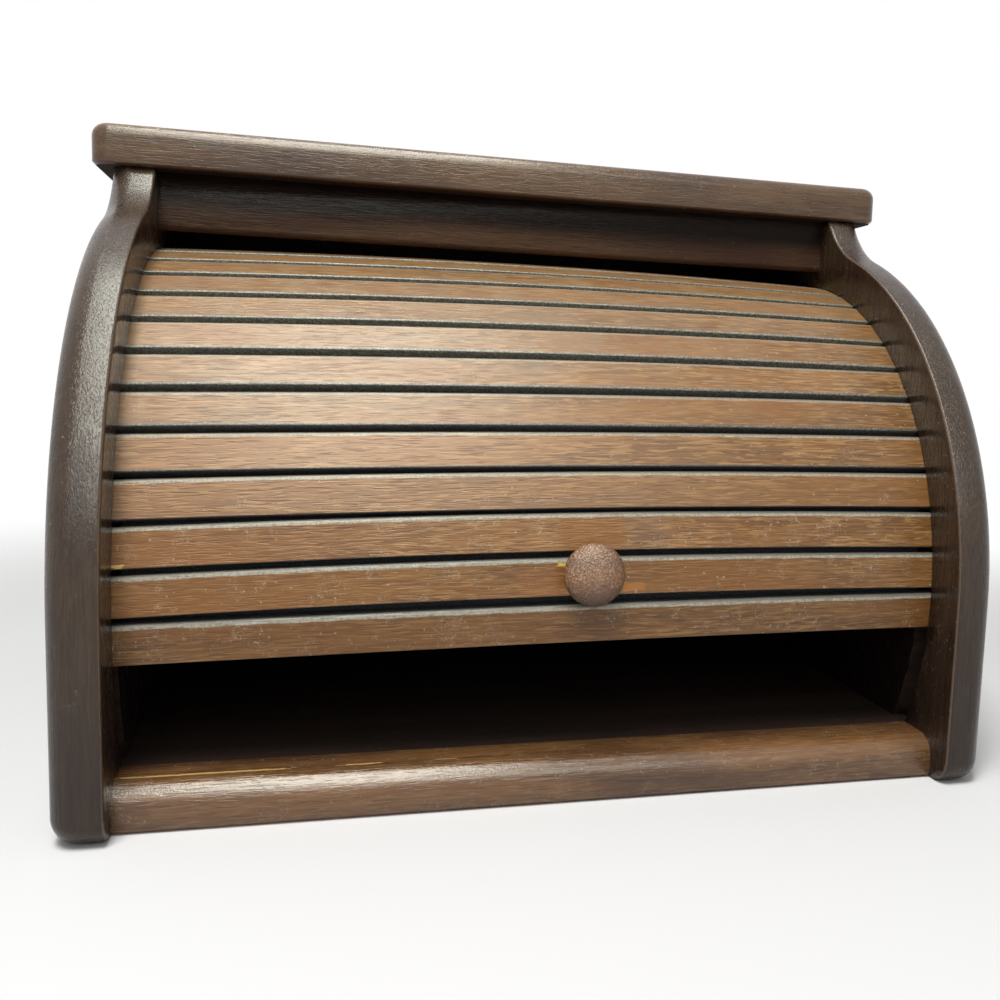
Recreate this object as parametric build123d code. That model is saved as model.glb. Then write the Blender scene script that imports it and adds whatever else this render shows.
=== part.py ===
from build123d import *
import math
import os

# Roll-top bread box. Millimetres, +Z up, front towards -Y, origin under the middle of the base.
# Angles along the door are in degrees about the centre of its round grooves: 0 is straight
# forward and 90 is straight up.

# Case
inner_width = 370.0        # between the two side panels
panel_thickness = 21.0
arc_height = 87.5          # centre of the round grooves above the base
rear_depth = 152.0         # centre of the grooves to the back edges of the side panels
panel_lead = 23.0          # round fronts of the side panels ahead of the slats
head_room = 36.5           # top of the slats' circle to the underside of the top board
cove_start_angle = 69.0    # where the round front turns into the hollow below the top board
cove_radius = 60.0
panel_foot_radius = 12.0   # rounded lower front corner of a side panel
panel_roundover = 10.5     # outer front arris of a side panel
panel_inner_arris = 1.2    # small bevel on the inner front arris

# Boards
top_thickness = 20.5
top_front_overhang = 3.2   # past the necks of the side panels
top_end_overhang = 9.0
top_corner_radius = 9.0
top_upper_round = 6.5
top_lower_bevel = 1.8
fascia_thickness = 12.0
fascia_setback = 8.2       # behind the necks of the side panels
fascia_edge_round = 3.0
sill_height = 20.0
sill_depth = 24.0
sill_setback = 13.0        # face behind the front of the side panels
sill_nose_radius = 10.0    # rounded upper front arris
sill_lower_ease = 2.0
tenon_length = 7.0         # stub tenons on the ends of the sill and the fascia
tenon_shoulder = 3.5       # board left standing round a tenon
floor_thickness = 9.0
floor_housing_depth = 6.0  # depth of the housings that the floor board's edges sit in
floor_tongue_length = 3.0
floor_tongue_thickness = 3.0
back_thickness = 6.0
back_rebate_width = 9.0

# Door
door_radius = 161.5        # outer face of the slats at their ends
slat_count = 17
slat_width = 17.1
slat_gap = 2.15
slat_thickness = 8.0
slat_top_ease = 1.8        # upper outer arris, eased in three flats, where dust settles
slat_bottom_bevel = 0.5
groove_depth = 9.0
slat_bow = 3.5             # outward bow at mid-length
door_bottom_angle = -6.5   # lower edge of the lowest slat at mid-width, as it hangs
door_lead = 6.3            # how far the right end hangs ahead of the left one
knob_pull = 3.2            # upward bend of the slats beside the knob
knob_pull_reach = 2.0      # in slats
knob_pull_shift = 0.3      # its peak above the knob's slat, in slats
cloth_thickness = 1.0
cloth_side_gap = 2.0       # cloth edge to the side panels
cloth_hem = 4.0            # end slats' outer edges to the cloth's ends

# Knob
knob_slat = 2              # counted from the bottom
knob_offset = 10.8         # sideways from the middle
knob_rise = 2.0            # above the middle of its slat
knob_diameter = 27.5
knob_projection = 17.0
knob_foot_diameter = 13.0
knob_neck_diameter = 11.5
knob_neck_height = 4.4
knob_rim_thickness = 3.2
knob_rim_bevel = 1.1
knob_crown = 4.2
knob_screw_diameter = 3.8
knob_screw_head_diameter = 7.2
knob_screw_head_height = 2.0
knob_screw_grip = 12.0     # thread inside the knob
drive_slot_width = 1.0
drive_slot_depth = 0.9

# Clearances
groove_clearance = 0.9     # slat face to groove wall, each side
slat_end_clearance = 1.0
seat_clearance = 0.2       # boards in their housings
tenon_clearance = 0.5      # tenons to the bottoms of their mortises
cloth_clearance = 0.25     # cloth to the hollow backs of the slats, filled by glue
door_head_clearance = 6.0  # bowed slats to the fascia
screw_clearance = 0.3
screw_end_clearance = 1.0
knob_seat_gap = 0.05

# Places worked out from the sizes
half_width = inner_width / 2
front_radius = door_radius + panel_lead
case_depth = front_radius + rear_depth
under_top_height = arc_height + door_radius + head_room
back_y = case_depth / 2
front_y = -back_y
arc_y = back_y - rear_depth
back_inner_y = back_y - back_thickness
panel_outer_x = half_width + panel_thickness
slat_length = inner_width + 2 * (groove_depth - slat_end_clearance)
slat_mid_radius = door_radius - slat_thickness / 2
slat_pitch_angle = math.degrees((slat_width + slat_gap) / slat_mid_radius)
slat_half_angle = math.degrees(slat_width / 2 / slat_mid_radius)
groove_outer_radius = door_radius + groove_clearance
groove_inner_radius = door_radius - slat_thickness - groove_clearance
lead_half_angle = math.degrees(door_lead / 2 / door_radius)
door_top_angle = (
    door_bottom_angle + slat_pitch_angle * (slat_count - 1) + 2 * slat_half_angle
)
bowed_radius = door_radius + slat_bow
floor_top = sill_height
floor_under = floor_top - floor_thickness
sill_front_y = front_y + sill_setback
sill_back_y = sill_front_y + sill_depth


def polar(radius, angle):
    """Y and Z of a point at this radius and angle about the centre of the grooves."""
    turn = math.radians(angle)
    return arc_y - radius * math.cos(turn), arc_height + radius * math.sin(turn)


def cove_centre():
    return polar(front_radius + cove_radius, cove_start_angle)


def neck_y():
    """Front of a side panel where it meets the top board."""
    centre_y, centre_z = cove_centre()
    drop = under_top_height - centre_z
    return centre_y + math.sqrt(cove_radius**2 - drop**2)


def cylinder_x(radius, x_from, x_to, y, z):
    """A round bar along X."""
    length = abs(x_to - x_from)
    bar = Plane(origin=(min(x_from, x_to), y, z), z_dir=(1, 0, 0)) * Cylinder(
        radius, length, align=(Align.CENTER, Align.CENTER, Align.MIN)
    )
    return bar


def block(x_from, x_to, y_from, y_to, z_from, z_to):
    """A plain cutter or blank between two corners."""
    return Pos(x_from, y_from, z_from) * Box(
        x_to - x_from,
        y_to - y_from,
        z_to - z_from,
        align=(Align.MIN, Align.MIN, Align.MIN),
    )


# Side panels

def panel_outline():
    """Outline in Y and Z: upright front, round shoulder, hollow neck, square back."""
    foot = panel_foot_radius
    bend = foot * (1 - math.sqrt(0.5))
    shoulder_start = (front_y, arc_height)
    shoulder_end = polar(front_radius, cove_start_angle)
    centre_y, centre_z = cove_centre()
    neck = (neck_y(), under_top_height)
    start_turn = math.atan2(shoulder_end[1] - centre_z, shoulder_end[0] - centre_y)
    end_turn = math.atan2(neck[1] - centre_z, neck[0] - centre_y)
    half_turn = (start_turn + end_turn) / 2
    cove_middle = (
        centre_y + cove_radius * math.cos(half_turn),
        centre_z + cove_radius * math.sin(half_turn),
    )
    edges = [
        Line((back_y, 0), (front_y + foot, 0)),
        ThreePointArc((front_y + foot, 0), (front_y + bend, bend), (front_y, foot)),
        Line((front_y, foot), shoulder_start),
        ThreePointArc(shoulder_start, polar(front_radius, cove_start_angle / 2), shoulder_end),
        ThreePointArc(shoulder_end, cove_middle, neck),
        Line(neck, (back_y, under_top_height)),
        Line((back_y, under_top_height), (back_y, 0)),
    ]
    return make_face(Plane.YZ * Wire(edges))


def door_groove(side):
    """Round groove that runs out at the back edge, where the door is slid in."""
    inner = side * half_width
    outer = side * (half_width + groove_depth)
    profile = Plane.XY * Pos(
        (inner + outer) / 2, -(groove_outer_radius + groove_inner_radius) / 2
    ) * Rectangle(abs(outer - inner), groove_outer_radius - groove_inner_radius)
    start = -math.degrees(math.asin((arc_height - floor_under) / groove_inner_radius))
    ring = revolve(profile, Axis((0, 0, 0), (-1, 0, 0)), 180 - start)
    return Pos(0, arc_y, arc_height) * Rot(X=-start) * ring


def inside_cut(side, depth, y_from, y_to, z_from, z_to):
    """Cutter for a recess of this depth in the inner face of a side panel."""
    reach = sorted([side * (half_width - 1), side * (half_width + depth)])
    return block(reach[0], reach[1], y_from, y_to, z_from, z_to)


def side_panel(side):
    blank = extrude(panel_outline(), panel_thickness, dir=(1, 0, 0))
    if side > 0:
        blank = Pos(half_width, 0, 0) * blank
    else:
        blank = Pos(-panel_outer_x, 0, 0) * blank
    blank = fillet(front_edges(blank, side * panel_outer_x), panel_roundover)
    blank = chamfer(front_edges(blank, side * half_width), panel_inner_arris)
    blank -= door_groove(side)
    blank -= inside_cut(
        side,
        floor_housing_depth + seat_clearance,
        sill_back_y,
        back_inner_y,
        floor_under,
        floor_top + seat_clearance,
    )
    blank -= inside_cut(
        side, back_rebate_width + seat_clearance, back_inner_y, back_y + 1, -1, under_top_height + 1
    )
    for tenon in (sill_tenon(), fascia_tenon()):
        blank -= inside_cut(side, tenon_length + tenon_clearance, *tenon)
    return blank


def front_edges(blank, x):
    """Edges of the shaped front that lie in the plane at this X."""
    edges = blank.edges().filter_by(lambda e: abs(e.center().X - x) < 0.01)
    return edges.filter_by(lambda e: e.center().Y < neck_y() and e.center().Z > 0.1)


# Boards between and above the side panels

def top_board():
    half_length = panel_outer_x + top_end_overhang
    front = neck_y() - top_front_overhang
    board = block(
        -half_length, half_length, front, back_y, under_top_height, under_top_height + top_thickness
    )
    corners = board.edges().filter_by(Axis.Z).filter_by(lambda e: e.center().Y < front + 1)
    board = fillet(corners, top_corner_radius)
    rims = board.edges().filter_by(lambda e: abs(e.center().Y - back_y) > 1)
    top_z = under_top_height + top_thickness
    upper = rims.filter_by(lambda e: abs(e.center().Z - top_z) < 0.01)
    board = fillet(upper, top_upper_round)
    rims = board.edges().filter_by(lambda e: abs(e.center().Y - back_y) > 1)
    lower = rims.filter_by(lambda e: abs(e.center().Z - under_top_height) < 0.01)
    return chamfer(lower, top_lower_bevel)


def fascia_front_y():
    return neck_y() + fascia_setback


def sill_tenon():
    """Y and Z reach of the stub tenons on the sill."""
    return (
        sill_front_y + sill_nose_radius,
        sill_back_y - tenon_shoulder - floor_tongue_length,
        tenon_shoulder,
        sill_height - tenon_shoulder,
    )


def fascia_tenon():
    """Y and Z reach of the stub tenons on the fascia, clear of the door grooves."""
    front = fascia_front_y()
    return (
        front + tenon_shoulder,
        front + fascia_thickness - tenon_shoulder,
        arc_height + bowed_radius + door_head_clearance,
        under_top_height - tenon_shoulder,
    )


def with_tenons(board, tenon):
    """A cross board with a stub tenon added at both ends."""
    reach = half_width + tenon_length
    for side in (-1, 1):
        ends = sorted([side * (half_width - 1), side * reach])
        board += block(ends[0], ends[1], *tenon)
    return board


def fascia_board():
    """Upright board over the door; its lower edge is hollowed to the sweep of the slats."""
    front = fascia_front_y()
    head_radius = bowed_radius + door_head_clearance
    low = arc_height + math.sqrt(head_radius**2 - (arc_y - front) ** 2)
    board = block(
        -half_width, half_width, front, front + fascia_thickness, low - 1, under_top_height
    )
    board -= cylinder_x(head_radius, -half_width - 1, half_width + 1, arc_y, arc_height)
    lower_front = board.edges().filter_by(Axis.X).sort_by(Axis.Z)[:2].sort_by(Axis.Y)[0]
    board = fillet(lower_front, fascia_edge_round)
    return with_tenons(board, fascia_tenon())


def front_sill():
    """Front cross board with a round upper front, grooved behind for the floor board."""
    nose = sill_nose_radius
    ease = sill_lower_ease
    nose_bend = nose * (1 - math.sqrt(0.5))
    outline = [
        Line((sill_back_y, 0), (sill_front_y + ease, 0)),
        Line((sill_front_y + ease, 0), (sill_front_y, ease)),
        Line((sill_front_y, ease), (sill_front_y, sill_height - nose)),
        ThreePointArc(
            (sill_front_y, sill_height - nose),
            (sill_front_y + nose_bend, sill_height - nose_bend),
            (sill_front_y + nose, sill_height),
        ),
        Line((sill_front_y + nose, sill_height), (sill_back_y, sill_height)),
        Line((sill_back_y, sill_height), (sill_back_y, 0)),
    ]
    sill = Pos(-half_width, 0, 0) * extrude(
        make_face(Plane.YZ * Wire(outline)), inner_width, dir=(1, 0, 0)
    )
    tongue = floor_tongue()
    sill -= block(
        -half_width - 1,
        half_width + 1,
        sill_back_y - floor_tongue_length - seat_clearance,
        sill_back_y + 1,
        tongue[0] - seat_clearance,
        tongue[1] + seat_clearance,
    )
    return with_tenons(sill, sill_tenon())


def floor_tongue():
    """Lower and upper face of the tongue on the floor board's front edge."""
    middle = floor_under + floor_thickness / 2
    return middle - floor_tongue_thickness / 2, middle + floor_tongue_thickness / 2


def floor_board():
    side_reach = half_width + floor_housing_depth
    board = block(-side_reach, side_reach, sill_back_y, back_inner_y, floor_under, floor_top)
    tongue = floor_tongue()
    board += block(
        -half_width + seat_clearance,
        half_width - seat_clearance,
        sill_back_y - floor_tongue_length,
        sill_back_y + 1,
        tongue[0],
        tongue[1],
    )
    return board


def back_panel():
    reach = half_width + back_rebate_width
    return block(-reach, reach, back_inner_y, back_y, 0, under_top_height)


# Door

def slat_lift(number):
    """Upward bend at mid-length, greatest beside the knob."""
    distance = (number - knob_slat - knob_pull_shift) / knob_pull_reach
    return knob_pull * math.exp(-(distance**2))


def slat_angle(number):
    """Angle of a slat's middle, before its bend."""
    return door_bottom_angle + slat_half_angle + slat_pitch_angle * (number - 1)


def slat_mid_angle(number):
    return slat_angle(number) + math.degrees(slat_lift(number) / slat_mid_radius)


def slat_section():
    """Cross-section: X runs up the door and Y outwards."""
    half = slat_width / 2
    face = slat_thickness / 2
    corner_x = half - slat_top_ease
    corner_y = face - slat_top_ease
    outline = [(-half, -face), (half, -face)]
    for turn in (0, 30, 60, 90):
        outline.append((
            corner_x + slat_top_ease * math.cos(math.radians(turn)),
            corner_y + slat_top_ease * math.sin(math.radians(turn)),
        ))
    outline += [(-half + slat_bottom_bevel, face), (-half, face - slat_bottom_bevel)]
    return make_face(Polyline(*outline, close=True))


def slat(number):
    """One bowed slat, swept from its left end to its right end."""
    angle = slat_angle(number)
    half = slat_length / 2
    left = (-half, *polar(slat_mid_radius, angle - lead_half_angle))
    right = (half, *polar(slat_mid_radius, angle + lead_half_angle))
    middle = (0, *polar(slat_mid_radius + slat_bow, slat_mid_angle(number)))
    path = ThreePointArc(left, middle, right)
    turn = math.radians(slat_mid_angle(number))
    upwards = Vector(0, math.sin(turn), math.cos(turn))
    along = path % 0
    up_the_door = (upwards - along * upwards.dot(along)).normalized()
    start = Plane(origin=left, x_dir=up_the_door, z_dir=along)
    section = slat_section()
    outwards = Vector(0, -math.cos(turn), math.sin(turn))
    if start.y_dir.dot(outwards) < 0:
        section = mirror(section, Plane.XZ)
    body = sweep(start * section, path)
    if number == knob_slat:
        body -= knob_screw_hole()
    return body


def bow_at(x):
    """Outward bow of the door at this distance from the middle."""
    half = slat_length / 2
    curve = (half**2 + slat_bow**2) / (2 * slat_bow)
    return slat_bow - curve + math.sqrt(curve**2 - x**2)


def door_cloth():
    """Cloth glued across the backs of all the slats."""
    half = half_width - cloth_side_gap
    outer = door_radius - slat_thickness - cloth_clearance
    inner = outer - cloth_thickness
    edge = bow_at(half)
    profile = [
        ThreePointArc((-half, -outer - edge), (0, -outer - slat_bow), (half, -outer - edge)),
        Line((half, -outer - edge), (half, -inner - edge)),
        ThreePointArc((half, -inner - edge), (0, -inner - slat_bow), (-half, -inner - edge)),
        Line((-half, -inner - edge), (-half, -outer - edge)),
    ]
    hem = math.degrees(cloth_hem / outer)
    start = door_bottom_angle + hem
    stop = door_top_angle - hem
    sheet = revolve(make_face(Wire(profile)), Axis((0, 0, 0), (-1, 0, 0)), stop - start)
    return Pos(0, arc_y, arc_height) * Rot(X=-start) * sheet


# Knob

def knob_plane():
    """Seat of the knob: origin on the slat's face, Z outwards."""
    angle = slat_mid_angle(knob_slat)
    turn = math.radians(angle)
    y, z = polar(door_radius + bow_at(knob_offset) + knob_seat_gap, angle)
    return Plane(
        origin=(
            knob_offset,
            y + knob_rise * math.sin(turn),
            z + knob_rise * math.cos(turn),
        ),
        x_dir=(1, 0, 0),
        z_dir=(0, -math.cos(turn), math.sin(turn)),
    )


def knob_screw_hole():
    """Through hole in the knob's slat, countersunk from behind."""
    radius = knob_screw_diameter / 2 + screw_clearance
    head_radius = knob_screw_head_diameter / 2 + screw_clearance
    hole = Pos(0, 0, knob_screw_seat()) * Cylinder(
        radius, slat_thickness * 2, align=(Align.CENTER, Align.CENTER, Align.MIN)
    )
    hole += Pos(0, 0, knob_screw_seat() - slat_thickness) * Cylinder(
        head_radius, slat_thickness, align=(Align.CENTER, Align.CENTER, Align.MIN)
    )
    return knob_plane() * hole


def knob_screw_seat():
    """Shoulder under the screw's head, measured from the knob's seat."""
    return -slat_thickness + knob_screw_head_height + screw_clearance


def knob():
    """Turned knob: small foot, waisted neck, bevelled rim and a domed face."""
    foot = knob_foot_diameter / 2
    neck = knob_neck_diameter / 2
    rim = knob_diameter / 2
    rim_top = knob_projection - knob_crown
    rim_low = rim_top - knob_rim_thickness
    shoulder = rim - knob_rim_bevel
    dome = (shoulder**2 + knob_crown**2) / (2 * knob_crown)
    quarter = shoulder / 2
    profile = [
        Line((0, 0), (foot, 0)),
        Line((foot, 0), (neck, knob_neck_height)),
        Line((neck, knob_neck_height), (rim, rim_low)),
        Line((rim, rim_low), (rim, rim_top - knob_rim_bevel)),
        Line((rim, rim_top - knob_rim_bevel), (shoulder, rim_top)),
        ThreePointArc(
            (shoulder, rim_top),
            (quarter, knob_projection - dome + math.sqrt(dome**2 - quarter**2)),
            (0, knob_projection),
        ),
        Line((0, knob_projection), (0, 0)),
    ]
    body = revolve(make_face(Plane.XZ * Wire(profile)), Axis.Z)
    bore = Cylinder(
        knob_screw_diameter / 2,
        knob_screw_grip + screw_end_clearance,
        align=(Align.CENTER, Align.CENTER, Align.MIN),
    )
    return knob_plane() * (body - bore)


def knob_screw():
    """Screw from behind, its head sunk in the slat under the cloth."""
    seat = knob_screw_seat()
    head = Pos(0, 0, seat - knob_screw_head_height) * Cylinder(
        knob_screw_head_diameter / 2,
        knob_screw_head_height,
        align=(Align.CENTER, Align.CENTER, Align.MIN),
    )
    shank = Pos(0, 0, seat) * Cylinder(
        knob_screw_diameter / 2,
        knob_screw_grip - seat,
        align=(Align.CENTER, Align.CENTER, Align.MIN),
    )
    slot = Pos(0, 0, seat - knob_screw_head_height) * Box(
        knob_screw_head_diameter * 1.5, drive_slot_width, drive_slot_depth * 2
    )
    return knob_plane() * (head + shank - slot)


def build():
    nodes = {
        "side_panel_left": side_panel(-1),
        "side_panel_right": side_panel(1),
        "top_board": top_board(),
        "fascia_board": fascia_board(),
        "front_sill": front_sill(),
        "floor_board": floor_board(),
        "back_panel": back_panel(),
        "door_cloth": door_cloth(),
        "knob": knob(),
        "knob_screw": knob_screw(),
    }
    for number in range(1, slat_count + 1):
        nodes[f"slat_{number:02d}"] = slat(number)
    return nodes


os.makedirs("parts", exist_ok=True)
for name, solid in build().items():
    export_step(solid, f"parts/{name}.step")
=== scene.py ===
import math

import bmesh
import bpy
from mathutils import Matrix, Vector, noise


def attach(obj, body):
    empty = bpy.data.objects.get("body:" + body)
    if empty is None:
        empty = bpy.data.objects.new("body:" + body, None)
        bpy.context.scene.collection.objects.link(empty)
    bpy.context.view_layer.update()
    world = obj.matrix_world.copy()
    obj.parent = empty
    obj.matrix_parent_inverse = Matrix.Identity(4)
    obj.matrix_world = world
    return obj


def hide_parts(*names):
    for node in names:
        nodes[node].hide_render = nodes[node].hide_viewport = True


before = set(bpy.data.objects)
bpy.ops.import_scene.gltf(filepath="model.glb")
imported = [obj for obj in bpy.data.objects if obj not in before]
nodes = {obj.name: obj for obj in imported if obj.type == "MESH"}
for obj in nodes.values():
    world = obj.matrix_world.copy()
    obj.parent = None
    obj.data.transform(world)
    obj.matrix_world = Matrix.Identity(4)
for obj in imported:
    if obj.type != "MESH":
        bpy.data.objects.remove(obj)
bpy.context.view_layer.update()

scene = bpy.context.scene
noise.seed_set(4)  # the same grain on every run
print("frame loaded:", len(nodes), "nodes")

# Roll-top bread box in metres, +Z up, the door faces -Y

# centre of the round grooves that the door slides in, seen from the side
grooves = {"y": 0.01625, "z": 0.0875}


# meshes

def newPiece(name, bm, body, material):
    mesh = bpy.data.meshes.new(name)
    bm.to_mesh(mesh)
    bm.free()
    mesh.materials.append(material)
    obj = bpy.data.objects.new(name, mesh)
    scene.collection.objects.link(obj)
    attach(obj, body)
    return obj


def shadeRound(obj, sharpAngle=38):
    # round faces shade smoothly and flat faces stay flat
    obj.data.polygons.foreach_set("use_smooth", [True] * len(obj.data.polygons))
    obj.data.set_sharp_from_angle(angle=math.radians(sharpAngle))
    weighted = obj.modifiers.new("evenShading", "WEIGHTED_NORMAL")
    weighted.mode = "FACE_AREA"
    weighted.weight = 100
    weighted.keep_sharp = True


# shader nodes, used by the groups and the materials alike

def feed(tree, value, socket):
    if isinstance(value, bpy.types.NodeSocket):
        tree.links.new(value, socket)
    else:
        socket.default_value = value


def calc(tree, operation, *values):
    node = tree.nodes.new("ShaderNodeMath")
    node.operation = operation
    for value, socket in zip(values, node.inputs):
        feed(tree, value, socket)
    return node.outputs[0]


def times(tree, first, second):
    return calc(tree, "MULTIPLY", first, second)


def fadeBetween(tree, value, low, high):
    # 0 at low, 1 at high, and soft between; high may be the smaller one
    node = tree.nodes.new("ShaderNodeMapRange")
    node.interpolation_type = "SMOOTHSTEP"
    feed(tree, value, node.inputs["Value"])
    feed(tree, low, node.inputs["From Min"])
    feed(tree, high, node.inputs["From Max"])
    return node.outputs[0]


def tint(tree, mask, under, over):
    node = tree.nodes.new("ShaderNodeMix")
    node.data_type = "RGBA"
    feed(tree, mask, node.inputs[0])
    feed(tree, under, node.inputs[6])
    feed(tree, over, node.inputs[7])
    return node.outputs[2]


def stretched(tree, place, scale, shift=(0, 0, 0), turn=(0, 0, 0)):
    node = tree.nodes.new("ShaderNodeMapping")
    feed(tree, place, node.inputs["Vector"])
    node.inputs["Scale"].default_value = scale
    node.inputs["Location"].default_value = shift
    node.inputs["Rotation"].default_value = turn
    return node.outputs[0]


def cloudy(tree, place, scale=1.0, detail=2.0, rough=0.5, swirl=0.0):
    node = tree.nodes.new("ShaderNodeTexNoise")
    feed(tree, place, node.inputs["Vector"])
    node.inputs["Scale"].default_value = scale
    node.inputs["Detail"].default_value = detail
    node.inputs["Roughness"].default_value = rough
    node.inputs["Distortion"].default_value = swirl
    return node.outputs[0]


def axesOf(tree, place):
    node = tree.nodes.new("ShaderNodeSeparateXYZ")
    tree.links.new(place, node.inputs[0])
    return node.outputs


def objectPlace(tree):
    return tree.nodes.new("ShaderNodeTexCoord").outputs["Object"]


def readAttribute(tree, name, output):
    node = tree.nodes.new("ShaderNodeAttribute")
    node.attribute_name = name
    return node.outputs[output]


def newMaterial(name):
    material = bpy.data.materials.new(name)
    material.use_nodes = True
    return material, material.node_tree, material.node_tree.nodes["Principled BSDF"]


def roughen(tree, shader, height, strength, distance):
    bump = tree.nodes.new("ShaderNodeBump")
    bump.inputs["Strength"].default_value = strength
    bump.inputs["Distance"].default_value = distance
    tree.links.new(height, bump.inputs["Height"])
    tree.links.new(bump.outputs[0], shader.inputs["Normal"])


def newGroup(name, takes, gives):
    group = bpy.data.node_groups.new(name, "ShaderNodeTree")
    for label, kind, start in takes:
        socket = group.interface.new_socket(name=label, in_out="INPUT", socket_type=kind)
        if start is not None:
            socket.default_value = start
    for label in gives:
        group.interface.new_socket(name=label, in_out="OUTPUT", socket_type="NodeSocketFloat")
    entry = group.nodes.new("NodeGroupInput")
    leave = group.nodes.new("NodeGroupOutput")
    return group, entry.outputs, leave.inputs


def useGroup(tree, group, **values):
    node = tree.nodes.new("ShaderNodeGroup")
    node.node_tree = group
    for label, value in values.items():
        feed(tree, value, node.inputs[label])
    return node.outputs


# long figure, fine fibres, short dark pores and short pale flecks of open-grained wood, the grain along X
grainMarks = {
    "Figure": {"scale": (6, 90, 90), "shift": (0, 0, 0), "detail": 3, "rough": 0.55, "swirl": 0.8,
               "from": 0.3, "full": 0.7},
    "Fibre": {"scale": (32, 850, 850), "shift": (0, 0, 0), "detail": 3, "rough": 0.6, "swirl": 0.4,
              "from": 0.3, "full": 0.7},
    "Pores": {"scale": (100, 1350, 1350), "shift": (3, 1, 7), "detail": 1, "rough": 0.5, "swirl": 0.4,
              "from": 0.53, "full": 0.66},
    "Flecks": {"scale": (95, 1100, 1100), "shift": (8, 4, 2), "detail": 1, "rough": 0.5, "swirl": 0.6,
               "from": 0.53, "full": 0.64},
}
woodGrain, given, result = newGroup("woodGrain", [("Place", "NodeSocketVector", None)], grainMarks)
for label, mark in grainMarks.items():
    place = stretched(woodGrain, given["Place"], mark["scale"], mark["shift"])
    streaks = cloudy(woodGrain, place, 1, mark["detail"], mark["rough"], mark["swirl"])
    woodGrain.links.new(fadeBetween(woodGrain, streaks, mark["from"], mark["full"]), result[label])

# stray hairs and specks of lint, in patches
lint = {
    "patchScale": 95, "patchFrom": 0.78, "patchSpread": 0.3, "patchEdge": 0.03,
    "hairScales": (240, 340), "hairShift": (0.31, 0.17, 0.05), "curl": 1.4,
    "hairFrom": 0.013, "hairFull": 0.003,
    "speckScale": 330, "speckShare": 0.34, "speckFrom": 0.42, "speckFull": 0.32,
    "ragScale": 1500, "rag": 0.5,
}
lintSpecks, given, result = newGroup(
    "lintSpecks",
    [("Place", "NodeSocketVector", None), ("Amount", "NodeSocketFloat", 0.5)],
    ("Hairs", "Specks"),
)
patches = cloudy(lintSpecks, given["Place"], lint["patchScale"], 2)
spread = times(lintSpecks, given["Amount"], lint["patchSpread"])
wanted = calc(lintSpecks, "SUBTRACT", lint["patchFrom"], spread)
covered = fadeBetween(lintSpecks, patches, wanted, calc(lintSpecks, "ADD", wanted, lint["patchEdge"]))
hairs = None
for layer, scale in enumerate(lint["hairScales"]):
    # a hair is where the cloud crosses its middle value
    shift = tuple(layer * part for part in lint["hairShift"])
    place = stretched(lintSpecks, given["Place"], (1, 1, 1), shift)
    curls = cloudy(lintSpecks, place, scale, 0, 0.5, lint["curl"])
    fromMiddle = calc(lintSpecks, "ABSOLUTE", calc(lintSpecks, "SUBTRACT", curls, 0.5))
    line = fadeBetween(lintSpecks, fromMiddle, lint["hairFrom"], lint["hairFull"])
    hairs = line if hairs is None else calc(lintSpecks, "MAXIMUM", hairs, line)
lintSpecks.links.new(times(lintSpecks, hairs, covered), result["Hairs"])
cells = lintSpecks.nodes.new("ShaderNodeTexVoronoi")
cells.inputs["Scale"].default_value = lint["speckScale"]
feed(lintSpecks, given["Place"], cells.inputs["Vector"])
chosen = lintSpecks.nodes.new("ShaderNodeSeparateColor")
feed(lintSpecks, cells.outputs["Color"], chosen.inputs[0])
share = times(lintSpecks, given["Amount"], lint["speckShare"])
rare = calc(lintSpecks, "LESS_THAN", chosen.outputs[0], share)
ragged = times(lintSpecks, cloudy(lintSpecks, given["Place"], lint["ragScale"], 2), lint["rag"])
fromCell = calc(lintSpecks, "ADD", cells.outputs["Distance"], ragged)
speck = fadeBetween(lintSpecks, fromCell, lint["speckFrom"], lint["speckFull"])
lintSpecks.links.new(times(lintSpecks, speck, rare), result["Specks"])

# a soft-edged patch between two ends of one coordinate and two of another, frayed by noise
fray = {"scale": (220, 900, 900), "depth": 4.0, "from": 1.15, "full": 0.75}
rubbedPatch, given, result = newGroup(
    "rubbedPatch",
    [
        ("Along", "NodeSocketFloat", 0.0), ("Across", "NodeSocketFloat", 0.0),
        ("Middle Along", "NodeSocketFloat", 0.0), ("Middle Across", "NodeSocketFloat", 0.0),
        ("Half Length", "NodeSocketFloat", 0.01), ("Half Width", "NodeSocketFloat", 0.01),
        ("Fray", "NodeSocketFloat", 0.3), ("Place", "NodeSocketVector", None),
    ],
    ("Mask",),
)
reach = None
for value, middle, half in (
    ("Along", "Middle Along", "Half Length"),
    ("Across", "Middle Across", "Half Width"),
):
    away = calc(rubbedPatch, "ABSOLUTE", calc(rubbedPatch, "SUBTRACT", given[value], given[middle]))
    away = calc(rubbedPatch, "DIVIDE", away, given[half])
    reach = away if reach is None else calc(rubbedPatch, "MAXIMUM", reach, away)
ragged = cloudy(rubbedPatch, stretched(rubbedPatch, given["Place"], fray["scale"]), 1, 3)
ragged = times(rubbedPatch, calc(rubbedPatch, "SUBTRACT", ragged, 0.5),
               times(rubbedPatch, given["Fray"], fray["depth"]))
reach = calc(rubbedPatch, "ADD", reach, ragged)
rubbedPatch.links.new(fadeBetween(rubbedPatch, reach, fray["from"], fray["full"]), result["Mask"])
print("shader groups ready")


def patchMask(tree, along, across, place, patch):
    return useGroup(tree, rubbedPatch, **{
        "Along": along, "Across": across, "Place": place, "Fray": patch["fray"],
        "Middle Along": patch["along"], "Half Length": patch["halfLength"],
        "Middle Across": patch["across"], "Half Width": patch["halfWidth"],
    })["Mask"]


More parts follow.
